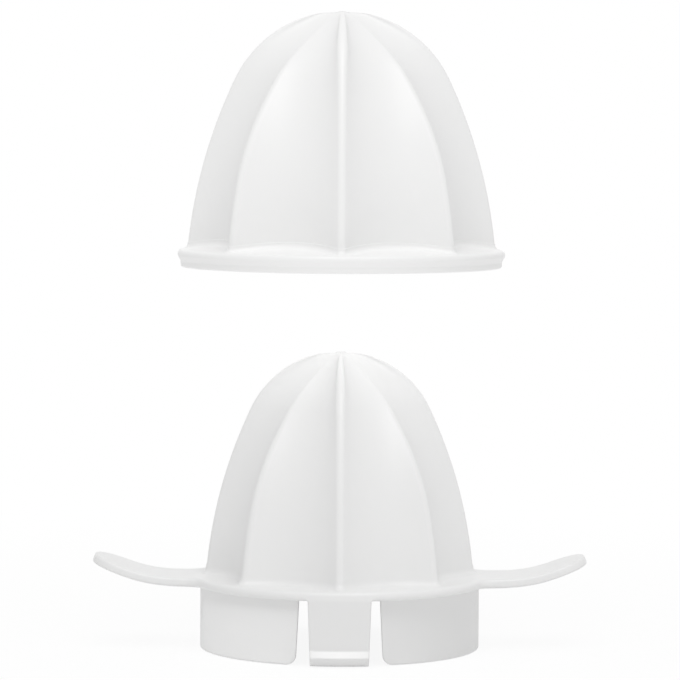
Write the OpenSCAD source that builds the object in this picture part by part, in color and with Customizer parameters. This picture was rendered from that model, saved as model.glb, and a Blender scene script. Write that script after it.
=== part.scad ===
// Two-piece juicing cone set: a small cone with stirring paddles and a snap-in skirt,
// and a large cone that slips over it. Millimetres, +Z up, the paddles along X.
// The origin is the middle of the skirt's foot. The large cone is drawn lifted off.

/* [Small cone] */
// Radius of the small cone over its ribs, where it meets the rim plate
small_cone_r = 31.2; // [29:0.1:34]
// Height of the small cone from the rim plate to its tip
small_cone_h = 52.1; // [46:0.1:58]
// Radius of the small cone's rounded nose, over its ribs
small_nose_r = 23; // [20:0.5:25]
// Radius of the hollow corner between the small cone's foot and the rim plate
small_foot_r = 2.4; // [1:0.1:2.4]
// Steepness at which the nose runs into the side, in degrees
shoulder_deg = 64.5; // [58:0.5:67]

/* [Ribs and flutes] */
// Long ribs round each cone, with a short rib after each
rib_pairs = 4; // [4:1:6]
// Depth of a flute below the ribs, at the small cone's foot
flute_depth = 4.4; // [3.6:0.1:5.2]
// Radius of a rib's rounded crest
crest_r = 1.3; // [0.8:0.1:1.8]
// Radius of the small cone, over its long ribs, where its short ribs rise out of the flutes
short_from_r = 8.7; // [6:0.1:11]
// Radius of the small cone, over its long ribs, where its short ribs stand as high as those
short_full_r = 29; // [25:0.1:30]
// Wall of both cones, over the ribs
wall = 2; // [1.6:0.1:2.4]

/* [Nesting] */
// Room between the cones' sides when the large one is on
nest_gap = 2.5; // [1.6:0.1:3.4]
// Room over the small cone's tip when the large one is on
tip_gap = 5.5; // [3:0.1:8]
// Gap left under the large cone's rim at the bottom of its travel
seat_gap = 0.3; // [0.2:0.05:0.6]
// Height of the large cone's rim above the small cone's tip, as lifted off
lift = 19.6; // [8:0.1:40]

/* [Large cone's rim] */
// Radius of the hollow corner between the large cone's foot and its rim
large_foot_r = 1.3; // [0.6:0.1:1.4]
// Height of the plain band at the foot
band_h = 1.8; // [1.2:0.1:3]
// Wall of the band
band_t = 2; // [1.4:0.1:2.4]
// Step from the foot of the ribs out to the band
band_reach = 1.6; // [1.4:0.1:2.4]
// Rounding of the band's lower edge
band_edge_r = 0.5; // [0.2:0.1:0.7]
// Height of the rounded bead above the band
bead_h = 2.4; // [2:0.1:3.4]
// Overhang of the bead past the band
bead_reach = 0.7; // [0.4:0.1:1]
// Rounding of the bead's edges
bead_edge_r = 0.8; // [0.4:0.1:1]

/* [Rim plate] */
// Step from the foot of the small cone's ribs out to the plate's edge
plate_reach = 3; // [2.9:0.1:4]
// Thickness of the plate
plate_t = 2.2; // [1.8:0.1:2.6]
// Rounding of the plate's edges
plate_edge_r = 0.5; // [0.2:0.1:0.8]

/* [Paddles] */
// Distance between the paddles' tips
paddle_span = 115.2; // [106:0.2:122]
// Width of a paddle
paddle_w = 18; // [14:0.5:20]
// Thickness of a paddle
paddle_t = 2; // [1.6:0.1:2.4]
// Radius at which a paddle bends upward
paddle_bend_r = 33; // [24:0.5:40]
// Slope of a paddle's outer end, in degrees
paddle_slope_deg = 20; // [14:1:24]
// Corner radius of a paddle's tip
paddle_tip_r = 7.5; // [4:0.5:8.5]
// Radius of the hollow corner where a paddle leaves the plate
paddle_root_r = 4.5; // [2:0.5:6]

/* [Skirt and snap clips] */
// Height of the skirt under the rim plate
skirt_h = 14.8; // [12:0.1:18]
// Wall of the skirt
skirt_t = 2; // [1.6:0.1:2.4]
// Step from the plate's edge in to the skirt
skirt_inset = 1.7; // [1.2:0.1:2.2]
// Radius of the skirt's lower corners beside the slots
skirt_corner_r = 1.6; // [0.8:0.1:2.4]
// Width of a clip at its root
clip_root_w = 14.4; // [12:0.1:17]
// Width of a clip at its foot
clip_foot_w = 13.3; // [11:0.1:16]
// Thickness of a clip
clip_t = 2; // [1.6:0.1:2.4]
// Width of the slot beside a clip, at its root
slot_root_w = 1.9; // [1.4:0.1:2.6]
// Width of the slot beside a clip, at its foot
slot_foot_w = 3.2; // [2.4:0.1:4]
// Outward reach of a clip's hook
hook_reach = 1.6; // [1:0.1:2]
// Height of the sloped ledge above the hook's point
hook_ledge_h = 1.4; // [1.2:0.1:2.4]
// Height of the lead-in below the hook's point
hook_lead_h = 2; // [1.4:0.1:2.8]
// Gap between a clip's root and the plate, in which the clip flexes
clip_root_gap = 0.2; // [0.15:0.05:0.4]
// Height of a clip's foot above the skirt's foot
clip_foot_gap = 0.2; // [0.1:0.05:0.5]

/* [Drive hub] */
// Outer radius of the hub
hub_r = 7; // [6.4:0.1:8.4]
// Radius of the round bore for the drive spindle
bore_r = 4.5; // [3:0.1:4.8]
// Depth of the bore
bore_depth = 26; // [16:0.5:40]
// Width of each of the two drive keyways
key_w = 2.4; // [1.6:0.1:2.8]
// Depth of a drive keyway beyond the bore
key_depth = 1.1; // [0.6:0.1:1.4]
// Height of the hub's mouth above the skirt's foot
hub_recess = 3; // [1:0.5:8]
// Thickness of the webs that steady the hub
web_t = 1.6; // [1.2:0.1:2]
// Height of the webs' lower end above the rim plate
web_clear = 18; // [8:0.5:26]
// Room between the hub and the edge of the flat ceiling that it hangs from
ceiling_margin = 1; // [0.5:0.1:2]

/* [Hidden] */
$fn = 96;
plastic = "whitesmoke";
over = 1;

// Steps along the nose and the side of a lofted cone, outside and inside
outer_steps = [10, 9];
inner_steps = [6, 6];
// Steps round the hollow corner at its foot, round half a rib's crest and across a flute
foot_steps = 4;
crest_steps = 2;
flute_steps = 6;
// Steps round a corner of a flat outline
corner_steps = 8;

// Heights of the small cone's parts
plate_top = skirt_h + plate_t;
small_tip = plate_top + small_cone_h;

// Radii of the rim plate and the skirt
plate_r = small_cone_r + plate_reach;
skirt_r = plate_r - skirt_inset;

// The large cone is the small one set out by the gap and the wall
cone_step = nest_gap + wall;
rim_h = band_h + bead_h;
large_cone_r = small_cone_r + cone_step;
large_nose_r = small_nose_r + cone_step;
large_cone_h = small_cone_h + tip_gap + wall - rim_h - seat_gap;
band_r = large_cone_r + band_reach;
bead_r = band_r + bead_reach;
rim_z = small_tip + lift;

// Turn from a long rib to the short one beside it
pitch_deg = 180 / rib_pairs;
// Share of the long ribs' radius at which the short ribs start, at the tip
tip_share = 0.47;
// Least half turn of a short rib's crest, and largest crest as a share of a long rib's radius
least_crest_deg = 4;
crest_share = 0.13;
inner_crest_r = crest_r / 2;
tip_ring_r = 2;
// Radius of a flute's hollow arc, as a share of the long ribs' radius, from its depth at the foot
flute_share = foot_flute_r(small_cone_r, flute_depth, crest_r) / small_cone_r;

// A flat ceiling inside the small cone leaves the hub room between the short ribs
small_inner_r = small_cone_r - wall;
ceiling_r = lookup(
    hub_r + ceiling_margin,
    [for (r = [tip_ring_r : 0.5 : small_inner_r]) [short_rib_r(r, small_inner_r), r]]);
small_inside = cone_outline(
    small_inner_r, small_cone_h - wall, small_nose_r - wall, ceiling_r, inner_steps);
ceiling_z = plate_top + small_inside[0][1];
web_foot = plate_top + web_clear;

// The paddles stay flat under the large cone's rim and turn up past it
paddle_flat_x = bead_r;
paddle_tip_x = paddle_span / 2;

// Half widths of a clip and of the gap in the skirt, at the root and at the foot
clip_half = [clip_root_w / 2, clip_foot_w / 2];
gap_half = [clip_half[0] + slot_root_w, clip_half[1] + slot_foot_w];

// Points [radius, height] of a cone's outline from its nose down to its foot: a nose arc
// that starts at radius first_r, then a side arc that runs on from it
function cone_outline(foot_r, h, nose_r, first_r, steps) =
    let (
        first_deg = asin(first_r / nose_r),
        join = [nose_r * sin(shoulder_deg), h - nose_r * (1 - cos(shoulder_deg))],
        run = [foot_r - join[0], join[1]],
        bend_deg = atan2(run[1], run[0]) - shoulder_deg,
        side_r = norm(run) / (2 * sin(bend_deg))
    )
    concat(
        [for (i = [0 : steps[0]])
            let (a = first_deg + (shoulder_deg - first_deg) * i / steps[0])
            [nose_r * sin(a), h - nose_r * (1 - cos(a))]],
        [for (i = [1 : steps[1] - 1])
            let (a = shoulder_deg + 2 * bend_deg * i / steps[1])
            [join[0] + side_r * (sin(a) - sin(shoulder_deg)),
             join[1] - side_r * (cos(shoulder_deg) - cos(a))]],
        [[foot_r, 0]]
    );

// The same outline with a hollow corner turned out at its foot
function flared(outline, corner_r) =
    let (foot_r = outline[len(outline) - 1][0])
    concat(
        [for (p = outline) if (p[1] > corner_r) p],
        [for (i = [0 : foot_steps])
            let (a = 90 * i / foot_steps)
            [foot_r + corner_r * (1 - cos(a)), corner_r * (1 - sin(a))]]
    );

// Radius of the hollow arc tangent to two like crests of radius c at radius r, so that the
// flute between them lies depth below them
function foot_flute_r(r, depth, c) =
    let (valley = r - depth, crest_at = r - c, reach = crest_at * cos(pitch_deg / 2))
    (pow(c, 2) - pow(valley, 2) - pow(crest_at, 2) + 2 * valley * reach) / (2 * (valley - reach - c));

// Radius of the short ribs at the height where the long ribs of a cone have radius r
function short_rib_r(r, foot_r) =
    let (
        from = short_from_r / small_cone_r,
        full = short_full_r / small_cone_r,
        way = max(0, min(1, (r / foot_r - from) / (full - from)))
    )
    r * (tip_share + (1 - tip_share) * way * way * (3 - 2 * way));

function point_at(middle, r, a) = middle + r * [cos(a), sin(a)];
function turned(p, a) = [p[0] * cos(a) - p[1] * sin(a), p[0] * sin(a) + p[1] * cos(a)];
function mirrored(p, a) = [p[0] * cos(2 * a) + p[1] * sin(2 * a), p[0] * sin(2 * a) - p[1] * cos(2 * a)];

// One flute at radius r: crest radius, middles of the long and the short crest, radius and
// middle of the hollow arc tangent to both, the way that the arc faces and half its turn
function flute_frame(r, foot_r, crest_most) =
    let (
        short_r = short_rib_r(r, foot_r),
        c = min(crest_most, crest_share * r),
        long_at = [r - c, 0],
        short_at = point_at([0, 0], short_r - c, pitch_deg),
        across = short_at - long_at,
        face_deg = atan2(-across[0], across[1]),
        least_deg = max(1, face_deg - pitch_deg + least_crest_deg),
        arc_r = min(flute_share * r, norm(across) / (2 * sin(least_deg)) - c),
        half_deg = asin(norm(across) / (2 * (arc_r + c))),
        arc_at = point_at((long_at + short_at) / 2, (arc_r + c) * cos(half_deg), face_deg)
    )
    [c, long_at, short_at, arc_r, arc_at, face_deg, half_deg];

// Points from the top of a long crest, across a flute, to the top of the short crest
function flute_points(r, foot_r, crest_most) =
    let (
        f = flute_frame(r, foot_r, crest_most),
        long_deg = f[5] + f[6],
        short_deg = pitch_deg - f[5] + f[6]
    )
    concat(
        [for (i = [0 : crest_steps]) point_at(f[1], f[0], long_deg * i / crest_steps)],
        [for (i = [1 : flute_steps - 1])
            point_at(f[4], f[3], 180 + f[5] + f[6] * (1 - 2 * i / flute_steps))],
        [for (i = [0 : crest_steps])
            point_at(f[2], f[0], pitch_deg - short_deg * (1 - i / crest_steps))]
    );

// Closed section of ribs and flutes at radius r over the long ribs
function section_at(r, foot_r, crest_most) =
    let (
        half = flute_points(r, foot_r, crest_most),
        pair = concat(half, [for (i = [len(half) - 2 : -1 : 1]) mirrored(half[i], pitch_deg)])
    )
    [for (k = [0 : rib_pairs - 1]) for (p = pair) turned(p, 2 * pitch_deg * k)];

// Rings of points that carry the section along an outline
function rings_along(outline, foot_r, crest_most) =
    [for (p = outline)
        [for (s = section_at(min(p[0], foot_r), foot_r, crest_most))
            let (out = max(1, p[0] / foot_r))
            [s[0] * out, s[1] * out, p[1]]]];

// Closed fluted shell: outer rings from the tip down, inner rings back up to a ceiling
module fluted_shell(foot_r, h, nose_r, corner_r, first_inner_r) {
    outer = flared(cone_outline(foot_r, h, nose_r, tip_ring_r, outer_steps), corner_r);
    inner = cone_outline(foot_r - wall, h - wall, nose_r - wall, first_inner_r, inner_steps);
    rings = concat(
        rings_along(outer, foot_r, crest_r),
        rings_along([for (i = [len(inner) - 1 : -1 : 0]) inner[i]], foot_r - wall, inner_crest_r)
    );
    around = len(rings[0]);
    last = len(rings) - 1;
    tip = len(rings) * around;
    ceiling = tip + 1;
    faces = concat(
        [for (j = [0 : around - 1]) [tip, (j + 1) % around, j]],
        [for (i = [0 : last - 1])
            for (j = [0 : around - 1])
                let (a = i * around + j, b = i * around + (j + 1) % around)
                each [[a, b, b + around], [a, b + around, a + around]]],
        [for (j = [0 : around - 1])
            [ceiling, last * around + j, last * around + (j + 1) % around]]
    );
    polyhedron(
        concat([for (ring = rings) each ring], [[0, 0, h], [0, 0, inner[0][1]]]), faces);
}

// Upright prism of a cone's inner section at its foot
module foot_prism(foot_r, z0, z1) {
    translate([0, 0, z0])
        linear_extrude(z1 - z0)
            polygon(section_at(foot_r - wall, foot_r - wall, inner_crest_r));
}

// Disc whose upper and lower edges are rounded
module rounded_disc(r, h, edge_r) {
    rotate_extrude() {
        square([r - edge_r, h]);
        translate([0, edge_r])
            square([r, h - 2 * edge_r]);
        for (z = [edge_r, h - edge_r])
            translate([r - edge_r, z])
                circle(edge_r);
    }
}

// Dome of the small cone, on the rim plate that its paddles and skirt hang from
module small_cone() {
    color(plastic)
        difference() {
            union() {
                translate([0, 0, plate_top])
                    fluted_shell(small_cone_r, small_cone_h, small_nose_r, small_foot_r, ceiling_r);
                translate([0, 0, skirt_h])
                    rounded_disc(plate_r, plate_t, plate_edge_r);
            }
            foot_prism(small_cone_r, skirt_h - over, plate_top);
        }
}

// Rim of the large cone: a rounded bead over a plain band, open underneath
module large_rim() {
    difference() {
        union() {
            translate([0, 0, band_h])
                rounded_disc(bead_r, bead_h, bead_edge_r);
            rounded_disc(band_r, band_h + bead_h / 2, band_edge_r);
        }
        translate([0, 0, -over])
            cylinder(r = band_r - band_t, h = band_h + over);
        foot_prism(large_cone_r, -over, rim_h);
    }
}

module large_cone() {
    color(plastic)
        translate([0, 0, rim_z]) {
            translate([0, 0, rim_h])
                fluted_shell(large_cone_r, large_cone_h, large_nose_r, large_foot_r, tip_ring_r);
            large_rim();
        }
}

// Plan of the right paddle: a tongue with round tip corners and hollow root corners
module paddle_plan() {
    side = paddle_w / 2;
    root_at = [sqrt(pow(plate_r + paddle_root_r, 2) - pow(side + paddle_root_r, 2)), side + paddle_root_r];
    square_len = paddle_tip_x - paddle_tip_r;
    translate([0, -side])
        square([square_len, paddle_w]);
    translate([0, paddle_tip_r - side])
        square([paddle_tip_x, paddle_w - 2 * paddle_tip_r]);
    for (turn = [-1, 1])
        translate([square_len, turn * (side - paddle_tip_r)])
            circle(paddle_tip_r);
    for (turn = [0, 1])
        mirror([0, turn])
            difference() {
                polygon([[0, 0], [root_at[0], 0], root_at]);
                translate(root_at)
                    circle(paddle_root_r);
            }
}

// The right paddle: a flat root, a bend and a straight sloping end, cut to its plan
module paddle() {
    bend_z = plate_top + paddle_bend_r;
    deep = 2 * plate_r;
    difference() {
        intersection() {
            union() {
                translate([0, -deep / 2, plate_top - paddle_t])
                    cube([paddle_flat_x, deep, paddle_t]);
                translate([paddle_flat_x, deep / 2, bend_z])
                    rotate([90, 0, 0])
                        rotate([0, 0, -90])
                            rotate_extrude(angle = paddle_slope_deg)
                                translate([paddle_bend_r, 0])
                                    square([paddle_t, deep]);
                translate([paddle_flat_x, 0, bend_z])
                    rotate([0, -paddle_slope_deg, 0])
                        translate([0, -deep / 2, -paddle_bend_r - paddle_t])
                            cube([paddle_tip_x, deep, paddle_t]);
            }
            linear_extrude(bend_z)
                paddle_plan();
        }
        cylinder(r = plate_r, h = bend_z);
    }
}

module right_paddle() {
    color(plastic)
        paddle();
}

module left_paddle() {
    color(plastic)
        rotate(180)
            paddle();
}

// Front outline of the right skirt panel, leaning back from the clips, its corner rounded
module skirt_outline() {
    lean = atan2(gap_half[1] - gap_half[0], skirt_h);
    corner = [gap_half[1] + skirt_corner_r * (1 / cos(lean) - tan(lean)), skirt_corner_r];
    polygon(concat(
        [[gap_half[0], skirt_h]],
        [for (i = [0 : corner_steps])
            let (a = 180 + lean + (90 - lean) * i / corner_steps)
            corner + skirt_corner_r * [cos(a), sin(a)]],
        [[skirt_r + over, 0], [skirt_r + over, skirt_h]]
    ));
}

// The right half of the skirt, between the front and the rear clip
module skirt_panel() {
    intersection() {
        difference() {
            cylinder(r = skirt_r, h = skirt_h);
            translate([0, 0, -over])
                cylinder(r = skirt_r - skirt_t, h = skirt_h + 2 * over);
        }
        rotate([90, 0, 0])
            linear_extrude(2 * skirt_r + over, center = true)
                skirt_outline();
    }
}

module right_skirt() {
    color(plastic)
        skirt_panel();
}

module left_skirt() {
    color(plastic)
        rotate(180)
            skirt_panel();
}

// The front clip: a curved tab flush with the plate's edge, with a hook at its foot
module clip() {
    foot = clip_foot_gap;
    root = skirt_h - clip_root_gap;
    point = foot + hook_lead_h;
    intersection() {
        rotate_extrude()
            polygon([
                [plate_r - clip_t, foot], [plate_r, foot],
                [plate_r + hook_reach, point], [plate_r, point + hook_ledge_h],
                [plate_r, root], [plate_r - clip_t, root]
            ]);
        rotate([90, 0, 0])
            linear_extrude(plate_r + hook_reach + over)
                polygon([
                    [-clip_half[1], 0], [clip_half[1], 0],
                    [clip_half[0], skirt_h], [-clip_half[0], skirt_h]
                ]);
    }
}

module front_clip() {
    color(plastic)
        clip();
}

module rear_clip() {
    color(plastic)
        rotate(180)
            clip();
}

// Reach of a web into the hollow behind a long rib, up to where its corners meet the wall
function web_reach(r) =
    let (
        f = flute_frame(r, small_inner_r, inner_crest_r),
        side = web_t / 2,
        on_crest = side < f[0] * sin(f[5] + f[6])
    )
    on_crest
        ? f[1][0] + sqrt(pow(f[0], 2) - pow(side, 2))
        : f[4][0] - sqrt(pow(f[3], 2) - pow(f[4][1] - side, 2));

// One web between the hub and a long rib, seen from the side
module web_outline() {
    inside = [for (p = small_inside) [web_reach(p[0]), plate_top + p[1]]];
    foot_r = lookup(web_foot, [for (p = inside) [p[1], p[0]]]);
    polygon(concat(
        [[bore_r + key_depth, web_foot], [bore_r + key_depth, ceiling_z]],
        [for (p = inside) if (p[1] > web_foot) p],
        [[foot_r, web_foot]]
    ));
}

// Tube that takes the drive spindle, hung from the small cone's ceiling
module drive_hub() {
    color(plastic)
        difference() {
            union() {
                translate([0, 0, hub_recess])
                    cylinder(r = hub_r, h = ceiling_z - hub_recess);
                for (i = [0 : rib_pairs - 1])
                    rotate(2 * pitch_deg * i)
                        rotate([90, 0, 0])
                            linear_extrude(web_t, center = true)
                                web_outline();
            }
            translate([0, 0, hub_recess - over]) {
                cylinder(r = bore_r, h = bore_depth + over);
                translate([-key_w / 2, -bore_r - key_depth, 0])
                    cube([key_w, 2 * (bore_r + key_depth), bore_depth + over]);
            }
        }
}

small_cone();
left_paddle();
right_paddle();
left_skirt();
right_skirt();
front_clip();
rear_clip();
drive_hub();
large_cone();
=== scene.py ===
"""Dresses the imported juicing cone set: fluted skins, paddles, skirt and clips, finish, studio and camera.

Sizes of pieces are millimetres in the CAD frame, as in the part's source. Meshes, lamps and camera are
in metres.
"""

import logging
import math
from collections.abc import Callable, Sequence
from dataclasses import dataclass, field
from enum import Enum
from typing import NamedTuple

import bmesh
import bpy
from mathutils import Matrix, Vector


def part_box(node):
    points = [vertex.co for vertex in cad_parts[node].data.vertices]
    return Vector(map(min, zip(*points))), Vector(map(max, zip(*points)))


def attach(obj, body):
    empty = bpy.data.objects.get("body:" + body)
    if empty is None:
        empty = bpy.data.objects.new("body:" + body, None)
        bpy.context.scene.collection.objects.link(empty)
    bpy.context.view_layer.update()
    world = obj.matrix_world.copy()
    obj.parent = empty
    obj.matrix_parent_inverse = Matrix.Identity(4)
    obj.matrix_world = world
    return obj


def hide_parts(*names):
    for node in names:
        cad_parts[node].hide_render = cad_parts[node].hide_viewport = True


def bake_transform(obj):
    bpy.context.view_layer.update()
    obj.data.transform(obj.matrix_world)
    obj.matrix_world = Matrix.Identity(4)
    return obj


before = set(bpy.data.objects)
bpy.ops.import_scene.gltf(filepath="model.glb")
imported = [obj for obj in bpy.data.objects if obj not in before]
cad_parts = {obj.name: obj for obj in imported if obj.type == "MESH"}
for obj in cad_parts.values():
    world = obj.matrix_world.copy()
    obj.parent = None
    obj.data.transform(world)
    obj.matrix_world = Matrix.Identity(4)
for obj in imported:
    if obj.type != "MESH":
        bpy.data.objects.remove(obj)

LOG = logging.getLogger("cone_set")
MM = 0.001
IMAGE_SIDE = 680
# Distance in metres at which points are welded, and turn of an edge that stays sharp
WELD = 1e-7
SHARP_DEG = 35.0
# Colour inputs and colour output of a Mix node
MIX_A, MIX_B, MIX_RESULT = 6, 7, 2

Flat = tuple[float, float]
Solid = tuple[float, float, float]
Colour = tuple[float, float, float, float]

AXIS: Flat = (0.0, 0.0)
WHITE: Colour = (1.0, 1.0, 1.0, 1.0)


class Body(Enum):
    """Bodies of the frame that pieces ride on."""

    SMALL_CONE = "small_cone"
    LARGE_CONE = "large_cone"
    FRONT_CLIP = "front_clip"
    REAR_CLIP = "rear_clip"


class Side(Enum):
    """Turn about the upright axis, in degrees, that brings a piece to its side."""

    RIGHT = 0
    REAR = 90
    LEFT = 180
    FRONT = 270


def polar(middle: Flat, radius: float, degrees: float) -> Flat:
    """Point at a radius and an angle from a middle."""
    turn = math.radians(degrees)
    return (middle[0] + radius * math.cos(turn), middle[1] + radius * math.sin(turn))


def eased(value: float, start: float, end: float) -> float:
    """Smooth rise from 0 at start to 1 at end."""
    way = min(1.0, max(0.0, (value - start) / (end - start)))
    return way * way * (3 - 2 * way)


def spread(start: float, end: float, steps: int) -> list[float]:
    """Even steps from start to end, both included."""
    return [start + (end - start) * k / steps for k in range(steps + 1)]


def node_span(node: str) -> tuple[Vector, Vector]:
    """Lowest and highest corner of a CAD node, in millimetres."""
    low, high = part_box(node)
    return Vector(low) / MM, Vector(high) / MM


def rounded_path(corners: Sequence[tuple[float, float, float]], steps: int = 5) -> list[Flat]:
    """Polyline through corners, each turned by an arc of its own radius.

    Args:
        corners: Points as (across, up, radius); a radius of 0 keeps the corner sharp.
        steps: Steps round each arc.

    Returns:
        The points of the rounded polyline.
    """
    path: list[Flat] = []
    last = len(corners) - 1
    for index, (across, up, radius) in enumerate(corners):
        here = Vector((across, up))
        if radius <= 0 or index in (0, last):
            path.append((across, up))
            continue
        back = (Vector(corners[index - 1][:2]) - here).normalized()
        ahead = (Vector(corners[index + 1][:2]) - here).normalized()
        half = back.angle(ahead) / 2
        middle = here + (back + ahead).normalized() * (radius / math.sin(half))
        first = here + back * (radius / math.tan(half)) - middle
        final = here + ahead * (radius / math.tan(half)) - middle
        for k in range(steps + 1):
            arm = middle + first.normalized().slerp(final.normalized(), k / steps) * radius
            path.append((arm.x, arm.y))
    return path


class Skin:
    """A mesh that grows ring by ring, in millimetres."""

    def __init__(self) -> None:
        """Starts empty."""
        self.points: list[Solid] = []
        self.faces: list[tuple[int, ...]] = []

    def ring(self, points: Sequence[Solid]) -> list[int]:
        """Adds points.

        Args:
            points: The points, in order round the ring.

        Returns:
            Their numbers.
        """
        first = len(self.points)
        self.points.extend(points)
        return list(range(first, first + len(points)))

    def bridge(self, upper: Sequence[int], lower: Sequence[int]) -> None:
        """Joins two closed rings of one count with four-sided faces.

        Args:
            upper: Numbers of the upper ring's points.
            lower: Numbers of the lower ring's points.
        """
        count = len(upper)
        for j in range(count):
            k = (j + 1) % count
            self.faces.append((upper[j], lower[j], lower[k], upper[k]))

    def loft(self, rings: Sequence[Sequence[Solid]]) -> list[list[int]]:
        """Adds rings of one count and bridges each to the next.

        Args:
            rings: The rings, in order.

        Returns:
            The numbers of each ring's points.
        """
        made = [self.ring(points) for points in rings]
        for upper, lower in zip(made, made[1:]):
            self.bridge(upper, lower)
        return made

    def fan(self, ring: Sequence[int], point: Solid, upward: bool) -> None:
        """Closes a ring with triangles to one point.

        Args:
            ring: Numbers of the ring's points.
            point: The point in the middle.
            upward: Whether the faces look up.
        """
        tip = self.ring([point])[0]
        count = len(ring)
        for j in range(count):
            pair = (ring[j], ring[(j + 1) % count])
            self.faces.append((tip, *pair) if upward else (tip, *reversed(pair)))

    def zipper(self, inner: Sequence[int], outer: Sequence[int], upward: bool) -> None:
        """Joins two rings of different counts in a flat zone, both by rising angle from +X.

        Args:
            inner: The ring nearer the axis.
            outer: The ring round it.
            upward: Whether the faces look up.
        """
        def angles(ring: Sequence[int]) -> list[float]:
            """Rising angles of a ring's points.

            Args:
                ring: Numbers of the ring's points.

            Returns:
                The angles, with one full turn at the end.
            """
            turns = [math.atan2(self.points[k][1], self.points[k][0]) % math.tau for k in ring]
            turns[0] = 0.0
            return turns + [math.tau]

        near, far = angles(inner), angles(outer)
        i = j = 0
        while i < len(inner) or j < len(outer):
            a, b = inner[i % len(inner)], outer[j % len(outer)]
            take_near = j >= len(outer) or (i < len(inner) and near[i + 1] <= far[j + 1])
            if take_near:
                i += 1
                face = (a, b, inner[i % len(inner)])
            else:
                j += 1
                face = (a, b, outer[j % len(outer)])
            self.faces.append(face if upward else tuple(reversed(face)))

    def build(self, name: str) -> bpy.types.Object:
        """Makes the object, welds points that meet and shades it smooth.

        Args:
            name: Name of the piece.

        Returns:
            The new object, in the scene.
        """
        mesh = bpy.data.meshes.new(name)
        mesh.from_pydata([tuple(MM * value for value in point) for point in self.points], [], self.faces)
        work = bmesh.new()
        work.from_mesh(mesh)
        bmesh.ops.remove_doubles(work, verts=work.verts, dist=WELD)
        bmesh.ops.recalc_face_normals(work, faces=work.faces)
        work.to_mesh(mesh)
        work.free()
        mesh.shade_smooth()
        mesh.set_sharp_from_angle(angle=math.radians(SHARP_DEG))
        piece = bpy.data.objects.new(name, mesh)
        bpy.context.scene.collection.objects.link(piece)
        LOG.info("%s: %d faces", name, len(mesh.polygons))
        return piece


@dataclass(frozen=True)
class RibSection:
    """Level section of a fluted cone: long ribs with a short rib between each two."""

    pairs: int = 4
    foot_r: float = 31.2
    flute_depth: float = 5.6
    short_from_r: float = 8.7
    short_full_r: float = 29.0
    tip_share: float = 0.47
    crest_share: float = 0.065
    least_crest_deg: float = 11.0
    least_turn_deg: float = 1.0
    crest_steps: int = 6
    flute_steps: int = 16

    @property
    def pitch_deg(self) -> float:
        """Turn from a long rib to the short one beside it."""
        return 180.0 / self.pairs

    def flute_share(self, crest_r: float) -> float:
        """Radius of a flute's hollow arc at the foot.

        Args:
            crest_r: Radius of a rib's rounded crest there.

        Returns:
            The arc's radius as a share of the ribs' radius.
        """
        valley = self.foot_r - self.flute_depth
        crest_at = self.foot_r - crest_r
        reach = crest_at * math.cos(math.radians(self.pitch_deg / 2))
        top = crest_r ** 2 - valley ** 2 - crest_at ** 2 + 2 * valley * reach
        return top / (2 * (valley - reach - crest_r)) / self.foot_r

    def short_r(self, radius: float, foot_r: float) -> float:
        """Radius of the short ribs where the long ones have the given radius."""
        rise = eased(radius / foot_r, self.short_from_r / self.foot_r, self.short_full_r / self.foot_r)
        return radius * (self.tip_share + (1 - self.tip_share) * rise)

    def ring(self, radius: float, foot_r: float, crest_r: float, share: float) -> list[Flat]:
        """Closed section at a radius over the long ribs.

        Args:
            radius: Radius over the long ribs.
            foot_r: The same radius at the cone's foot.
            crest_r: Largest radius of a rib's rounded crest.
            share: Radius of the flutes' hollow arcs as a share of the radius.

        Returns:
            Points by rising angle, from the top of the long rib on +X.
        """
        pitch = self.pitch_deg
        short_r = self.short_r(radius, foot_r)
        crest = min(crest_r, self.crest_share * radius)
        long_at = Vector((radius - crest, 0.0))
        short_at = Vector(polar(AXIS, short_r - crest, pitch))
        across = short_at - long_at
        face = math.degrees(math.atan2(-across.x, across.y))
        least = math.radians(max(self.least_turn_deg, face - pitch + self.least_crest_deg))
        arc_r = min(share * radius, across.length / (2 * math.sin(least)) - crest)
        half = math.degrees(math.asin(across.length / (2 * (arc_r + crest))))
        middle = (long_at + short_at) / 2
        arc_at = polar(middle, (arc_r + crest) * math.cos(math.radians(half)), face)
        short_deg = pitch - face + half
        points = [polar(long_at, crest, a) for a in spread(0.0, face + half, self.crest_steps)]
        points += [polar(arc_at, arc_r, a)
                   for a in spread(180 + face + half, 180 + face - half, self.flute_steps)[1:-1]]
        points += [polar(short_at, crest, a) for a in spread(pitch - short_deg, pitch, self.crest_steps)]
        twice = math.radians(2 * pitch)
        points += [(x * math.cos(twice) + y * math.sin(twice), x * math.sin(twice) - y * math.cos(twice))
                   for x, y in points[-2:0:-1]]
        return [self.turned(point, 2 * pitch * k) for k in range(self.pairs) for point in points]

    @staticmethod
    def turned(point: Flat, degrees: float) -> Flat:
        """Point turned about the axis."""
        c, s = math.cos(math.radians(degrees)), math.sin(math.radians(degrees))
        return (point[0] * c - point[1] * s, point[0] * s + point[1] * c)


@dataclass(frozen=True)
class OutlineGrain:
    """Radius at which a dome's outline starts, and its steps along both arcs."""

    first_r: float
    nose_steps: int
    side_steps: int


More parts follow.
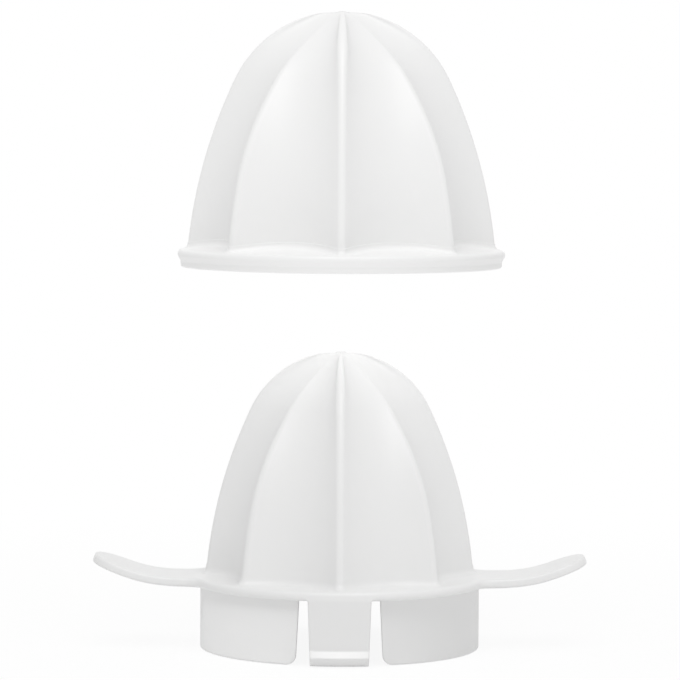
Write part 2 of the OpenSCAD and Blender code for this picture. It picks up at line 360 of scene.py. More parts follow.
@dataclass(frozen=True)
class Dome:
    """Fluted dome: a nose arc that runs on into a side arc, with ribs and flutes round it."""

    foot_r: float
    height: float
    nose_r: float
    base_z: float
    crest_r: float
    flute_share: float
    shoulder_deg: float = 64.5
    section: RibSection = field(default_factory=RibSection)

    def outline(self, grain: OutlineGrain) -> list[Flat]:
        """Points (radius, height over the foot) from the nose down to the foot.

        Args:
            grain: Where the outline starts, and its steps.

        Returns:
            The outline over the long ribs.
        """
        shoulder = math.radians(self.shoulder_deg)
        join = Vector((self.nose_r * math.sin(shoulder),
                       self.height - self.nose_r * (1 - math.cos(shoulder))))
        run = Vector((self.foot_r - join.x, join.y))
        bend = math.atan2(run.y, run.x) - shoulder
        side_r = run.length / (2 * math.sin(bend))
        nose = [(self.nose_r * math.sin(a), self.height - self.nose_r * (1 - math.cos(a)))
                for a in spread(math.asin(grain.first_r / self.nose_r), shoulder, grain.nose_steps)]
        side = [(join.x + side_r * (math.sin(a) - math.sin(shoulder)),
                 join.y - side_r * (math.cos(shoulder) - math.cos(a)))
                for a in spread(shoulder, shoulder + 2 * bend, grain.side_steps)[1:]]
        return nose + side

    def rings(self, outline: Sequence[Flat],
              relief: Callable[[float, float], float] = lambda distance, height: 0.0) -> list[list[Solid]]:
        """Sections carried along an outline.

        Args:
            outline: Points (radius, height over the foot).
            relief: Height added by a point's own distance from the axis and its height.

        Returns:
            One ring of points per point of the outline.
        """
        made = []
        for radius, height in outline:
            level = self.section.ring(min(radius, self.foot_r), self.foot_r, self.crest_r, self.flute_share)
            out = max(1.0, radius / self.foot_r)
            made.append([(x * out, y * out, self.base_z + height + relief(math.hypot(x, y) * out, height))
                         for x, y in level])
        return made

    def flared(self, outline: Sequence[Flat], corner_r: float, steps: int = 8) -> list[Flat]:
        """The outline with a hollow corner turned out at its foot."""
        turns = spread(0.0, math.pi / 2, steps)
        return [point for point in outline if point[1] > corner_r] + [
            (self.foot_r + corner_r * (1 - math.cos(a)), corner_r * (1 - math.sin(a))) for a in turns]


@dataclass
class GateMark:
    """Small moulding mark on a cone's tip: a flat nub in a shallow ring."""

    nub_r: float = 1.05
    nub_flat: float = 0.7
    nub_h: float = 0.2
    ring_r: float = 1.5
    ring_w: float = 0.55
    ring_depth: float = 0.16
    fade_from: float = 2.0
    fade_to: float = 4.0

    def height(self, radius: float, _: float = 0.0) -> float:
        """Height that the mark adds to a tip.

        Args:
            radius: Distance from the axis.
            _: Height on the dome, which makes no difference.

        Returns:
            The added height, below 0 where the mark is sunk.
        """
        nub = self.nub_h * eased(radius, self.nub_flat * self.nub_r, self.nub_r)
        fade = 1 - eased(radius, self.fade_from * self.ring_r, self.fade_to * self.ring_r)
        return -fade * (nub + self.ring_depth * math.exp(-((radius - self.ring_r) / self.ring_w) ** 2))


@dataclass
class LargeCone:
    """The loose large cone: fluted dome, rounded bead and plain band."""

    wall: float = 2.0
    nose_r: float = 27.5
    crest_r: float = 1.3
    foot_corner_r: float = 1.3
    rim_h: float = 4.2
    band_h: float = 1.8
    band_t: float = 2.0
    bead_reach: float = 0.7
    bead_edge_r: float = 1.05
    bead_lead: float = 0.1
    bead_low_h: float = 2.7
    bead_low_r: float = 0.4
    bead_foot_h: float = 1.4
    bead_foot_r: float = 0.8
    ledge_slope: float = 0.18
    outer_slope_share: float = 0.5
    slope_h: float = 9.0
    band_edge_r: float = 0.5
    inner_edge_r: float = 0.3
    band_reach: float = 1.6
    outer_grain: OutlineGrain = OutlineGrain(0.3, 40, 30)
    inner_grain: OutlineGrain = OutlineGrain(0.8, 16, 14)
    mark: GateMark = field(default_factory=GateMark)

    def build(self) -> bpy.types.Object:
        """Makes the cone's closed skin from the tip down, round the rim and up inside.

        Returns:
            The new piece.
        """
        low, high = node_span("large_cone")
        bead_r = high.x
        band_r = bead_r - self.bead_reach
        foot_r = band_r - self.band_reach
        foot_z = low.z + self.rim_h
        share = RibSection().flute_share(self.crest_r)
        outside = Dome(foot_r, high.z - foot_z, self.nose_r, foot_z, self.crest_r, share)
        inside = Dome(foot_r - self.wall, high.z - foot_z - self.wall, self.nose_r - self.wall, foot_z,
                      self.crest_r / 2, share)
        skin = Skin()
        top = outside.flared(outside.outline(self.outer_grain), self.foot_corner_r)
        rings = outside.rings(top, lambda distance, height: self.mark.height(distance)
                              + self.ledge_rise(distance - foot_r) * (1 - eased(height, 0.0, self.slope_h)))
        angles = [math.atan2(y, x) for x, y, _ in rings[-1]]
        rings += [[(radius * math.cos(a), radius * math.sin(a), low.z + up) for a in angles]
                  for radius, up in self.rim_profile(bead_r, band_r)]
        back = [(foot_r - self.wall, self.band_h - self.rim_h)]
        back += list(reversed(inside.outline(self.inner_grain)))
        rings += inside.rings(back)
        made = skin.loft(rings)
        skin.fan(made[0], (0.0, 0.0, high.z + self.mark.height(0.0)), upward=True)
        skin.fan(made[-1], (0.0, 0.0, high.z - self.wall), upward=False)
        return skin.build("large_cone_skin")

    def ledge_rise(self, out: float) -> float:
        """Height of the sloped ledge at a distance out from the ribs' foot."""
        return -out * self.ledge_slope * (self.outer_slope_share if out > 0 else 1.0)

    def rim_profile(self, bead_r: float, band_r: float) -> list[Flat]:
        """Profile round the bead, the band and its inside.

        Args:
            bead_r: Radius over the bead.
            band_r: Radius over the band.

        Returns:
            Points (radius, height over the rim's foot).
        """
        inner_r = band_r - self.band_t
        top_h = self.rim_h + self.ledge_rise(bead_r - band_r + self.band_reach)
        start_r = bead_r - self.bead_edge_r - self.bead_lead
        return rounded_path([
            (start_r, self.rim_h + self.ledge_rise(start_r - band_r + self.band_reach), 0.0),
            (bead_r, top_h, self.bead_edge_r),
            (bead_r, self.bead_low_h, self.bead_low_r),
            (band_r, self.bead_foot_h, self.bead_foot_r),
            (band_r, 0.0, self.band_edge_r),
            (inner_r, 0.0, self.inner_edge_r),
            (inner_r, self.band_h, 0.0),
        ])


class EdgePoint(NamedTuple):
    """Point of the rim plate's outline, with the direction out of it."""

    x: float
    y: float
    out_x: float
    out_y: float
    on_paddle: bool


@dataclass
class PaddlePlan:
    """Plan of the rim plate with its two paddles, before these are bent up."""

    plate_r: float
    flat_x: float
    half_w: float = 9.0
    tip_corner_r: float = 7.5
    root_corner_r: float = 4.5
    bend_r: float = 33.0
    slope_deg: float = 20.0
    length: float = 57.7
    tip_steps: int = 4
    corner_steps: int = 28
    side_steps: int = 18
    root_steps: int = 12
    plate_steps: int = 92

    def quarter(self) -> list[EdgePoint]:
        """A quarter of the outline, from the middle of the right tip to the rear of the plate.

        Returns:
            Points by rising angle.
        """
        tip_x = self.length - self.tip_corner_r
        tip_y = self.half_w - self.tip_corner_r
        root_y = self.half_w + self.root_corner_r
        root_x = math.sqrt((self.plate_r + self.root_corner_r) ** 2 - root_y ** 2)
        root_deg = math.degrees(math.atan2(root_y, root_x))
        points = [EdgePoint(self.length, y, 1.0, 0.0, True)
                  for y in spread(0.0, tip_y, self.tip_steps)[:-1]]
        for a in spread(0.0, 90.0, self.corner_steps):
            out = polar(AXIS, 1.0, a)
            points.append(EdgePoint(*polar((tip_x, tip_y), self.tip_corner_r, a), *out, True))
        points += [EdgePoint(x, self.half_w, 0.0, 1.0, True)
                   for x in spread(tip_x, root_x, self.side_steps)[1:-1]]
        for a in spread(-90.0, root_deg - 180.0, self.root_steps):
            out = polar(AXIS, 1.0, a + 180.0)
            points.append(EdgePoint(*polar((root_x, root_y), self.root_corner_r, a), *out, True))
        for a in spread(root_deg, 90.0, self.plate_steps)[1:]:
            out = polar(AXIS, 1.0, a)
            points.append(EdgePoint(self.plate_r * out[0], self.plate_r * out[1], *out, False))
        return points

    def outline(self) -> list[EdgePoint]:
        """The whole outline, from the middle of the right tip.

        Returns:
            Points by rising angle.
        """
        first = self.quarter()
        second = [EdgePoint(-p.x, p.y, -p.out_x, p.out_y, p.on_paddle) for p in first[-2::-1]]
        upper = first + second
        return upper + [EdgePoint(-p.x, -p.y, -p.out_x, -p.out_y, p.on_paddle) for p in upper[1:-1]]

    def lifted(self, x: float, y: float, depth: float, top_z: float) -> Solid:
        """Point of the plan at a depth under the top face, with the paddles bent up.

        Args:
            x: Distance along the paddles, measured along their top face.
            y: Distance across them.
            depth: Depth below the top face.
            top_z: Height of the plate's top face.

        Returns:
            The point in space.
        """
        past = abs(x) - self.flat_x
        slope = math.radians(self.slope_deg)
        turn = min(slope, max(0.0, past / self.bend_r))
        straight = max(0.0, past - slope * self.bend_r)
        if past <= 0:
            return (x, y, top_z - depth)
        reach = self.flat_x + (self.bend_r + depth) * math.sin(turn) + straight * math.cos(turn)
        rise = self.bend_r - (self.bend_r + depth) * math.cos(turn) + straight * math.sin(turn)
        return (math.copysign(reach, x), y, top_z + rise)


@dataclass
class SmallCone:
    """Moulding of the small cone: fluted dome, rim plate and the two paddles."""

    foot_r: float = 31.2
    nose_r: float = 23.0
    crest_r: float = 1.3
    foot_corner_r: float = 1.9
    wall: float = 2.0
    plate_t: float = 2.2
    paddle_t: float = 2.0
    plate_edge_r: float = 1.0
    paddle_edge_r: float = 0.6
    least_edge_r: float = 0.01
    thin_from: float = 35.0
    thin_to: float = 41.0
    fine_from: float = 33.0
    fine_to: float = 39.0
    clip_half_w: float = 7.2
    clip_ease: float = 0.5
    rows: int = 26
    edge_steps: int = 6
    outer_grain: OutlineGrain = OutlineGrain(0.3, 40, 30)
    ceiling_grain: OutlineGrain = OutlineGrain(13.75, 12, 14)
    mark: GateMark = field(default_factory=GateMark)

    def build(self) -> bpy.types.Object:
        """Makes the moulding's closed skin: dome, plate and paddles, underside, inside.

        Returns:
            The new piece.
        """
        low, high = node_span("small_cone")
        flat_x = node_span("large_cone")[1].x
        top_z = low.z + self.plate_t
        share = RibSection().flute_share(self.crest_r)
        height = high.z - top_z
        outside = Dome(self.foot_r, height, self.nose_r, top_z, self.crest_r, share)
        inside = Dome(self.foot_r - self.wall, height - self.wall, self.nose_r - self.wall, top_z,
                      self.crest_r / 2, share)
        skin = Skin()
        top = outside.flared(outside.outline(self.outer_grain), self.foot_corner_r)
        dome = skin.loft(outside.rings(top, self.mark.height))
        skin.fan(dome[0], (0.0, 0.0, high.z + self.mark.height(0.0)), upward=True)
        sheet = skin.loft(self.sheet_rings(PaddlePlan(high.x, flat_x), top_z))
        skin.zipper(dome[-1], sheet[0], upward=True)
        ceiling = inside.outline(self.ceiling_grain)
        hollow = inside.rings([(inside.foot_r, -self.plate_t)] + list(reversed(ceiling)))
        made = skin.loft(hollow)
        skin.zipper(made[0], sheet[-1], upward=False)
        skin.fan(made[-1], (0.0, 0.0, top_z + ceiling[0][1]), upward=False)
        return skin.build("small_cone_skin")

    def sheet_rings(self, plan: PaddlePlan, top_z: float) -> list[list[Solid]]:
        """Rings of the plate and paddles, from the plate's top over the edge to its underside.

        Args:
            plan: The plan that the rings fill.
            top_z: Height of the plate's top face.

        Returns:
            Rings of one count.
        """
        outline = plan.outline()
        thick = [self.thickness(point.x) for point in outline]
        upper_edge = [self.upper_edge(point) for point in outline]
        lower_edge = [self.lower_edge(point) for point in outline]
        roots = []
        for point, edge in zip(outline, upper_edge):
            turn = math.degrees(math.atan2(point.y - edge * point.out_y, point.x - edge * point.out_x))
            roots.append(polar(AXIS, plan.plate_r - self.plate_edge_r, turn))
        rings = []
        for way in spread(0.0, 1.0, self.rows)[:-1]:
            rings.append([self.between(plan, root, point, way, edge, 0.0, top_z)
                          for root, point, edge in zip(roots, outline, upper_edge)])
        for a in spread(0.0, math.pi / 2, self.edge_steps):
            rings.append([
                self.between(plan, root, point, 1.0, edge * (1 - math.sin(a)),
                             edge * (1 - math.cos(a)), top_z)
                for root, point, edge in zip(roots, outline, upper_edge)])
        for a in spread(0.0, math.pi / 2, self.edge_steps):
            rings.append([
                self.between(plan, root, point, 1.0, edge * (1 - math.cos(a)),
                             deep - edge * (1 - math.sin(a)), top_z)
                for root, point, deep, edge in zip(roots, outline, thick, lower_edge)])
        for way in spread(1.0, 0.0, self.rows)[1:]:
            rings.append([
                self.between(plan, root, point, way, edge,
                             self.thickness(self.along(root, point, way)), top_z)
                for root, point, edge in zip(roots, outline, lower_edge)])
        return rings

    @staticmethod
    def between(plan: PaddlePlan, root: Flat, point: EdgePoint, way: float, inset: float,
                depth: float, top_z: float) -> Solid:
        """Point on the way from the plate's edge to the outline.

        Args:
            plan: The plan that is bent up.
            root: Start, on the plate's edge.
            point: The outline's point.
            way: Share of the way, 1 at the outline.
            inset: Distance inside the outline at its end.
            depth: Depth under the top face.
            top_z: Height of the plate's top face.

        Returns:
            The point in space.
        """
        end = (point.x - inset * point.out_x, point.y - inset * point.out_y)
        start = root if point.on_paddle else end
        x = start[0] + way * (end[0] - start[0])
        y = start[1] + way * (end[1] - start[1])
        return plan.lifted(x, y, depth, top_z)

    @staticmethod
    def along(root: Flat, point: EdgePoint, way: float) -> float:
        """Distance along the paddles at a share of the way."""
        return root[0] + way * (point.x - root[0]) if point.on_paddle else point.x

    def thickness(self, x: float) -> float:
        """Thickness of the plate, which thins into the paddles."""
        return self.plate_t + (self.paddle_t - self.plate_t) * eased(abs(x), self.thin_from, self.thin_to)

    def upper_edge(self, point: EdgePoint) -> float:
        """Rounding of the upper edge, finer on the paddles."""
        fine = eased(abs(point.x), self.fine_from, self.fine_to)
        return self.plate_edge_r + (self.paddle_edge_r - self.plate_edge_r) * fine

    def lower_edge(self, point: EdgePoint) -> float:
        """Rounding of the lower edge, which ends where a clip's face runs on down."""
        beside_clip = eased(abs(point.x), self.clip_half_w, self.clip_half_w + self.clip_ease)
        return max(self.least_edge_r, self.upper_edge(point) * beside_clip)


@dataclass
class CurvedPanel:
    """Upright panel that follows a circle, made of level loops with rounded corners."""

    wall: float = 2.0
    edge_r: float = 0.35
    corner_steps: int = 4
    arc_steps: int = 48

    def loop(self, outer_r: float, inner_r: float, reach: Callable[[float], Flat], z: float,
             side: Side) -> list[Solid]:
        """Closed level loop: outer arc, end, inner arc, end.

        Args:
            outer_r: Radius of the outer face.
            inner_r: Radius of the inner face.
            reach: Angles of the panel's two ends from its middle at a radius, in radians.
            z: Height.
            side: Side of the set that the panel's middle is on.

        Returns:
            Points in order round the loop.
        """
        edge = self.edge_r

        def end(radius: float, turn: float, which: int) -> Flat:
            """Point of a rounded end, as radius and angle."""
            angle = reach(radius)[which]
            return (radius, angle - math.copysign(edge * (1 - math.sin(turn)) / radius, angle))

        def corner(which: int) -> list[Flat]:
            """Points round one end, from the outer face to the inner."""
            made = [end(outer_r - edge * (1 - math.cos(a)), a, which)
                    for a in spread(0.0, math.pi / 2, self.corner_steps)[1:]]
            return made + [end(inner_r + edge * (1 + math.cos(a)), a, which)
                           for a in spread(math.pi / 2, math.pi, self.corner_steps)[:-1]]

        outer = [end(outer_r, 0.0, which)[1] for which in (0, 1)]
        inner = [end(inner_r, 0.0, which)[1] for which in (1, 0)]
        points = [(outer_r, a) for a in spread(*outer, self.arc_steps)] + corner(1)
        points += [(inner_r, a) for a in spread(*inner, self.arc_steps)] + corner(0)[::-1]
        turn = math.radians(side.value)
        return [(r * math.cos(a + turn), r * math.sin(a + turn), z) for r, a in points]

    def close(self, skin: Skin, loop: Sequence[int], upward: bool) -> None:
        """Closes the end of a stack of loops with a strip between its two arcs.

        Args:
            skin: The mesh.
            loop: Numbers of the loop's points.
            upward: Whether the faces look up.
        """
        arc, corner = self.arc_steps + 1, 2 * self.corner_steps
        outer, inner = loop[:arc], loop[arc + corner:2 * arc + corner][::-1]
        faces = [(outer[k], outer[k + 1], inner[k + 1], inner[k]) for k in range(arc - 1)]
        faces.append((outer[-1], *loop[arc:arc + corner], inner[-1]))
        faces.append((inner[0], *loop[2 * arc + corner:], outer[0]))
        skin.faces.extend(face if upward else tuple(reversed(face)) for face in faces)

    def stack(self, name: str, loops: Sequence[Sequence[Solid]]) -> bpy.types.Object:
        """Makes the closed panel from its loops, top first.

        Args:
            name: Name of the piece.
            loops: Level loops.

        Returns:
            The new piece.
        """
        skin = Skin()
        made = skin.loft(loops)
        self.close(skin, made[0], upward=True)
        self.close(skin, made[-1], upward=False)
        return skin.build(name)


@dataclass
class SkirtHalf(CurvedPanel):
    """One half of the skirt, between the front and the rear clip."""

    root_gap: float = 9.1
    foot_gap: float = 9.85
    corner_r: float = 2.3
    foot_edge_r: float = 0.45
    rear_ease: float = 0.75
    tuck: float = 0.6
    wall_steps: int = 6
    foot_steps: int = 16
    arc_steps: int = 90

    def build(self, side: Side, node: str) -> bpy.types.Object:
        """Makes the half, in the place of its CAD node.

        Args:
            side: Side of the set that it is on.
            node: The CAD node.

        Returns:
            The new piece.
        """
        low, high = node_span(node)
        outer_r = max(high.x, -low.x)
        rows = [(high.z + self.tuck, 0.0), (high.z, 0.0)]
        rows += [(z, 0.0) for z in spread(high.z, self.corner_r, self.wall_steps)[1:-1]]
        rows += [(self.corner_r * (1 - math.sin(a)), self.corner_r * (1 - math.cos(a)))
                 for a in spread(0.0, math.pi / 2, self.foot_steps)]
        foot = self.foot_edge_r
        loops = []
        for z, inset in rows:
            gap = self.foot_gap + (self.root_gap - self.foot_gap) * min(1.0, z / high.z) + inset
            shrink = foot - math.sqrt(max(0.0, foot ** 2 - max(0.0, foot - z) ** 2))
            gaps = (gap, gap + self.rear_ease) if side is Side.RIGHT else (gap + self.rear_ease, gap)
            loops.append(self.loop(outer_r - shrink, outer_r - self.wall + shrink,
                                   lambda r, gaps=gaps: (-math.acos(gaps[0] / r), math.acos(gaps[1] / r)),
                                   low.z + z, side))
        return self.stack(f"{node}_panel", loops)


@dataclass
class SnapClip(CurvedPanel):
    """Springy tab flush with the plate's edge, with a hook at its foot."""

    root_half_w: float = 7.2
    foot_half_w: float = 6.65
    hook_reach: float = 1.6
    ledge_h: float = 1.4
    ledge_root_r: float = 0.5
    hook_edge_r: float = 0.35
    lead_h: float = 2.0
    toe_r: float = 0.4
    toe_run: float = 0.5
    blend_from: float = 0.2
    blend_to: float = 3.3
    face_gap: float = 0.6
    face_steps: int = 14
    arc_steps: int = 28

    @property
    def root_z(self) -> float:
        """Height of the plate's underside, which a clip hangs from."""
        return node_span("right_skirt")[1].z

    def build(self, side: Side, node: str) -> bpy.types.Object:
        """Makes the tab, from the plate's underside down to its hook.

        Args:
            side: Side of the set that it is on.
            node: The CAD node that it takes the place of.

        Returns:
            The new piece.
        """
        low, _ = node_span(node)
        plate_r = node_span("small_cone")[1].x
        foot = low.z
        point = foot + self.lead_h
        face = rounded_path([
            (plate_r, self.root_z, 0.0),
            (plate_r, point + self.ledge_h, self.ledge_root_r),
            (plate_r + self.hook_reach, point, self.hook_edge_r),
            (plate_r, foot, self.toe_r),
            (plate_r - self.toe_run, foot, 0.0),
        ])
        face_foot = point + self.ledge_h + self.face_gap
        upright = [(plate_r, z) for z in spread(self.root_z, face_foot, self.face_steps)]
        loops = []
        for outer_r, z in upright + face[1:]:
            half_w = self.foot_half_w + (self.root_half_w - self.foot_half_w) * z / self.root_z
            loops.append(self.loop(outer_r, plate_r - self.wall,
                                   lambda r, half_w=half_w: (-math.asin(half_w / r), math.asin(half_w / r)),
                                   z, side))
        return self.stack(f"{node}_tab", loops)

    def fasten(self, tab: bpy.types.Object, body: Body, side: Side) -> None:
        """Bakes the tab's placement into its mesh.

        Args:
            tab: The piece.
            body: The clip's body; not used.
            side: Side of the set that it is on; not used.
        """
        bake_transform(tab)


class Wire:
    """A shader socket whose operators add Math nodes."""

    def __init__(self, graph: "Graph", socket: bpy.types.NodeSocket) -> None:
        """Wraps an output socket of a graph."""
        self.graph = graph
        self.socket = socket

    def math(self, operation: str, other: "Wire | float", flipped: bool = False) -> "Wire":
        """Result of a Math node on this value and another.

        Args:
            operation: The Math node's operation.
            other: The other value.
            flipped: Whether the other value comes first.

        Returns:
            The result.
        """
        pair = (other, self) if flipped else (self, other)
        return self.graph.node("ShaderNodeMath", {"operation": operation}, {0: pair[0], 1: pair[1]})

    def __add__(self, other: "Wire | float") -> "Wire":
        """Sum."""
        return self.math("ADD", other)

    def __radd__(self, other: float) -> "Wire":
        """Sum with a number first."""
        return self.math("ADD", other, flipped=True)

    def __sub__(self, other: "Wire | float") -> "Wire":
        """Difference."""
        return self.math("SUBTRACT", other)

    def __rsub__(self, other: float) -> "Wire":
        """Difference from a number."""
        return self.math("SUBTRACT", other, flipped=True)

    def __mul__(self, other: "Wire | float") -> "Wire":
        """Product."""
        return self.math("MULTIPLY", other)

    def __rmul__(self, other: float) -> "Wire":
        """Product with a number first."""
        return self.math("MULTIPLY", other, flipped=True)

    def at_most(self, other: "Wire | float") -> "Wire":
        """The smaller of two values."""
        return self.math("MINIMUM", other)


class Graph:
    """A node tree that is filled node by node."""

    def __init__(self, tree: bpy.types.NodeTree) -> None:
        """Empties the tree."""
        self.tree = tree
        tree.nodes.clear()

    def node(self, kind: str, settings: dict[str, object], sockets: dict[str | int, object],
             output: str | int = 0) -> Wire:
        """Adds a node.

        Args:
            kind: Type of the node.
            settings: Properties that are set first.
            sockets: Values or wires of its inputs.
            output: Output that is handed back.

        Returns:
            The chosen output, or an empty wire for a node without outputs.
        """
        made = self.tree.nodes.new(kind)
        for key, value in settings.items():
            setattr(made, key, value)
        for key, value in sockets.items():
            if isinstance(value, Wire):
                self.tree.links.new(value.socket, made.inputs[key])
            else:
                made.inputs[key].default_value = value
        return Wire(self, made.outputs[output] if len(made.outputs) else None)


@dataclass(frozen=True)
class WhitePlastic:
    """Glossy white moulded plastic with a fine, slightly uneven skin."""

    slot: str = "white_plastic"
    pale: Colour = (0.875, 0.875, 0.872, 1.0)
    deep: Colour = (0.845, 0.845, 0.843, 1.0)
    roughness: float = 0.40
    roughness_swing: float = 0.10
    ior: float = 1.49
    noise_mean: float = 0.5
    cloud_scale: float = 38.0
    cloud_detail: float = 3.0
    cloud_roughness: float = 0.55
    grain_scale: float = 1900.0
    grain_detail: float = 2.0
    grain_roughness: float = 0.5
    grain_height: float = 0.00001
    grain_strength: float = 0.25

    def material(self) -> bpy.types.Material:
        """Makes the material: a cloudy white with a fine grain in its gloss and its skin.

        Returns:
            The new material.
        """
        material = bpy.data.materials.new(self.slot)
        material.use_nodes = True
        graph = Graph(material.node_tree)
        place = graph.node("ShaderNodeTexCoord", {}, {}, "Object")
        cloud = graph.node("ShaderNodeTexNoise", {}, {
            "Vector": place, "Scale": self.cloud_scale, "Detail": self.cloud_detail,
            "Roughness": self.cloud_roughness})
        grain = graph.node("ShaderNodeTexNoise", {}, {
            "Vector": place, "Scale": self.grain_scale, "Detail": self.grain_detail,
            "Roughness": self.grain_roughness})
        colour = graph.node("ShaderNodeMix", {"data_type": "RGBA"}, {
            "Factor": cloud, MIX_A: self.deep, MIX_B: self.pale}, MIX_RESULT)
        rough = self.roughness + self.roughness_swing * (0.5 * cloud + 0.5 * grain - self.noise_mean)
        bump = graph.node("ShaderNodeBump", {}, {
            "Strength": self.grain_strength, "Distance": self.grain_height, "Height": grain})
        shader = graph.node("ShaderNodeBsdfPrincipled", {}, {
            "Base Color": colour, "Roughness": rough, "IOR": self.ior, "Normal": bump})
        graph.node("ShaderNodeOutputMaterial", {}, {"Surface": shader})
        return material


@dataclass(frozen=True)
class SoftLamp:
    """Soft rectangular lamp that lights chosen pieces."""

    name: str
    place: Solid
    size: Flat
    power: float
    aim: Solid = (0.0, 0.0, 0.075)

    def build(self, lit: Sequence[bpy.types.Object], shading: Sequence[bpy.types.Object] = ()) -> None:
        """Adds the lamp.

        Args:
            lit: Pieces that it lights.
            shading: Pieces that cast its shadows; every piece where none is given.
        """
        light = bpy.data.lights.new(self.name, "AREA")
        light.shape = "RECTANGLE"
        light.size, light.size_y = self.size
        light.energy = self.power
        lamp = bpy.data.objects.new(self.name, light)
        lamp.location = self.place
        lamp.rotation_euler = (Vector(self.aim) - Vector(self.place)).to_track_quat("-Z", "Y").to_euler()
        lamp.visible_camera = False
        lamp.light_linking.receiver_collection = self.group("lit", lit)
        if shading:
            lamp.light_linking.blocker_collection = self.group("shading", shading)
        bpy.context.scene.collection.objects.link(lamp)

    def group(self, use: str, pieces: Sequence[bpy.types.Object]) -> bpy.types.Collection:
        """Makes a collection of the pieces that the lamp is tied to.

        Args:
            use: What ties them to the lamp.
            pieces: The pieces.

        Returns:
            The new collection.
        """
        made = bpy.data.collections.new(f"{self.name}_{use}")
        for piece in pieces:
            made.objects.link(piece)
        return made


@dataclass
class Studio:
    """Pale floor, soft lamps and an even surround."""

    floor_half: float = 60.0
    floor_drop: float = 0.0001
    floor_colour: Colour = (0.92, 0.92, 0.92, 1.0)
    near_glow: float = 0.92
    glow_from: float = 0.06
    glow_full: float = 0.3
    surround: float = 0.60
    upper_lamp: SoftLamp = SoftLamp("upper_lamp", (0.0, -0.58, 1.24), (1.0, 1.0), 8.3)
    bounce_lamp: SoftLamp = SoftLamp("bounce_lamp", (0.0, -0.30, -0.45), (1.2, 0.3), 0.95)
    lower_lamp: SoftLamp = SoftLamp("lower_lamp", (0.145, -0.685, 1.12), (0.7, 0.7), 5.5)
    tip_lamp: SoftLamp = SoftLamp("tip_lamp", (0.0, 0.0, 0.0955), (0.05, 0.05), 0.0048)
    skirt_lamp: SoftLamp = SoftLamp("skirt_lamp", (-0.254, -0.44, 1.15), (0.5, 0.5), 6.1)
    clip_lamp: SoftLamp = SoftLamp("clip_lamp", (0.0, -0.42, 1.2), (0.5, 0.5), 6.0)

    def seen(self, graph: Graph) -> Wire:
        """Marks rays that show the background itself, straight, mirrored or through.

        Args:
            graph: Node tree of the floor or the world.

        Returns:
            1 for such rays, 0 for others.
        """
        def ray(name: str) -> Wire:
            """One output of the Light Path node."""
            return graph.node("ShaderNodeLightPath", {}, {}, name)

        return (ray("Is Camera Ray") + ray("Is Glossy Ray") + ray("Is Transmission Ray")).at_most(1.0)

    def floor(self) -> bpy.types.Object:
        """Makes the floor, which shows nearly white and keeps a faint shadow.

        Returns:
            The floor.
        """
        half, low = self.floor_half, -self.floor_drop
        corners = [(-half, -half, low), (half, -half, low), (half, half, low), (-half, half, low)]
        mesh = bpy.data.meshes.new("studio_floor")
        mesh.from_pydata(corners, [], [(0, 1, 2, 3)])
        floor = bpy.data.objects.new("studio_floor", mesh)
        bpy.context.scene.collection.objects.link(floor)
        material = bpy.data.materials.new("studio_floor")
        material.use_nodes = True
        graph = Graph(material.node_tree)
        matt = graph.node("ShaderNodeBsdfDiffuse", {}, {"Color": self.floor_colour})
        glow = graph.node("ShaderNodeEmission", {}, {"Color": WHITE, "Strength": 1.0})
        place = graph.node("ShaderNodeTexCoord", {}, {}, "Object")
        away = graph.node("ShaderNodeVectorMath", {"operation": "LENGTH"}, {0: place}, "Value")
        level = graph.node("ShaderNodeMapRange", {"interpolation_type": "SMOOTHSTEP"}, {
            "Value": away, "From Min": self.glow_from, "From Max": self.glow_full,
            "To Min": self.near_glow, "To Max": 1.0})
        shown = graph.node("ShaderNodeMixShader", {}, {"Fac": level * self.seen(graph), 1: matt, 2: glow})
        graph.node("ShaderNodeOutputMaterial", {}, {"Surface": shown})
        mesh.materials.append(material)
        return floor

    def world(self) -> None:
        """Lights evenly from all round, and shows white."""
        world = bpy.data.worlds.new("studio")
        bpy.context.scene.world = world
        world.use_nodes = True
        graph = Graph(world.node_tree)
        level = self.surround + (1.0 - self.surround) * self.seen(graph)
        back = graph.node("ShaderNodeBackground", {}, {"Color": WHITE, "Strength": level})
        graph.node("ShaderNodeOutputWorld", {}, {"Surface": back})

    def build(self, upper: bpy.types.Object, dome: Sequence[bpy.types.Object],
              skirt: Sequence[bpy.types.Object], clips: Sequence[bpy.types.Object]) -> None:
        """Sets up floor, surround and lamps, each of which lights its own part of the set.

        Args:
            upper: The lifted large cone.
            dome: Moulding of the small cone, and its hub.
            skirt: Panels of the skirt.
            clips: Tabs of the clips.
        """
        floor = self.floor()
        self.world()
        lower = [*dome, *skirt, *clips]
        self.upper_lamp.build([upper, floor])
        self.bounce_lamp.build([upper], [upper])
        self.lower_lamp.build(dome, lower)
        self.tip_lamp.build(dome, lower)
        self.skirt_lamp.build(skirt, lower)
        self.clip_lamp.build(clips, lower)
        bpy.context.scene.view_settings.view_transform = "Standard"


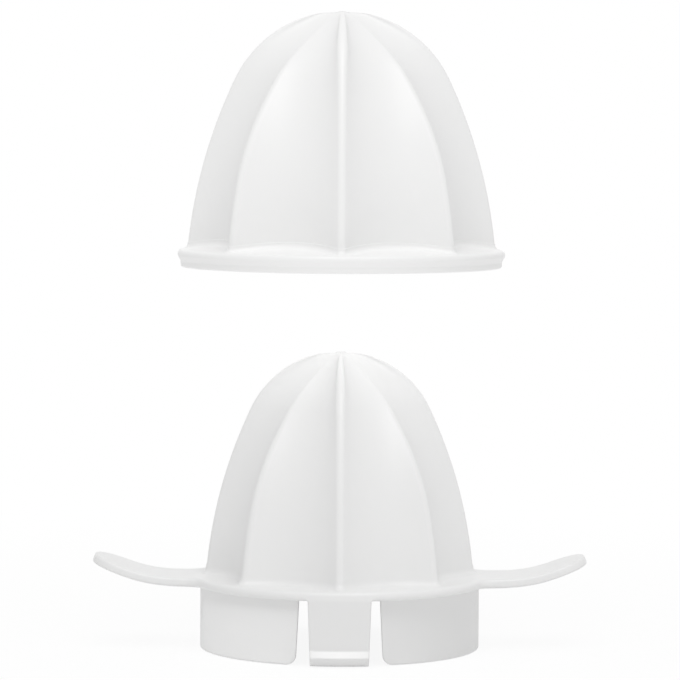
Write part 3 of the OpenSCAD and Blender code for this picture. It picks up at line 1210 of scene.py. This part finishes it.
@dataclass
class PhotoCamera:
    """Long lens a little above the cones' tips, as in the photograph."""

    place: Solid = (-0.0005, -0.885, 0.1270)
    aim: Solid = (-0.0005, 0.0, 0.0717)
    focal_px: float = 3812.0
    sensor: float = 36.0
    roll_deg: float = 0.3

    def build(self) -> None:
        """Adds the camera and makes it the scene's own."""
        data = bpy.data.cameras.new("photo_camera")
        data.sensor_width = self.sensor
        data.lens = self.focal_px * self.sensor / IMAGE_SIDE
        data.dof.use_dof = False
        camera = bpy.data.objects.new("photo_camera", data)
        camera.location = self.place
        turn = (Vector(self.aim) - Vector(self.place)).to_track_quat("-Z", "Y").to_euler()
        turn.y -= math.radians(self.roll_deg)
        camera.rotation_euler = turn
        bpy.context.scene.collection.objects.link(camera)
        bpy.context.scene.camera = camera


def dress(piece: bpy.types.Object, material: bpy.types.Material) -> None:
    """Gives a new piece its material.

    Args:
        piece: The piece.
        material: Its material.
    """
    piece.data.materials.clear()
    piece.data.materials.append(material)


def main() -> None:
    """Builds the set, the studio and the camera."""
    logging.basicConfig(level=logging.INFO, format="%(name)s %(message)s")
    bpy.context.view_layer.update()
    finish = WhitePlastic()
    plastic = finish.material()
    PhotoCamera().build()

    large = LargeCone().build()
    dress(large, plastic)
    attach(large, Body.LARGE_CONE.value)
    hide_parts("large_cone")

    small = SmallCone().build()
    dress(small, plastic)
    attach(small, Body.SMALL_CONE.value)
    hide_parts("small_cone", "left_paddle", "right_paddle")

    panels = []
    for side, node in ((Side.RIGHT, "right_skirt"), (Side.LEFT, "left_skirt")):
        panel = SkirtHalf().build(side, node)
        dress(panel, plastic)
        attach(panel, Body.SMALL_CONE.value)
        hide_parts(node)
        panels.append(panel)

    tabs = []
    for side, body in ((Side.FRONT, Body.FRONT_CLIP), (Side.REAR, Body.REAR_CLIP)):
        clip = SnapClip()
        tab = clip.build(side, body.value)
        dress(tab, plastic)
        clip.fasten(tab, body, side)
        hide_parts(body.value)
        tabs.append(tab)

    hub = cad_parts["drive_hub"]
    hub.data.materials.clear()
    hub.data.materials.append(plastic)
    Studio().build(large, [small, hub], panels, tabs)


if __name__ == "__main__":
    main()
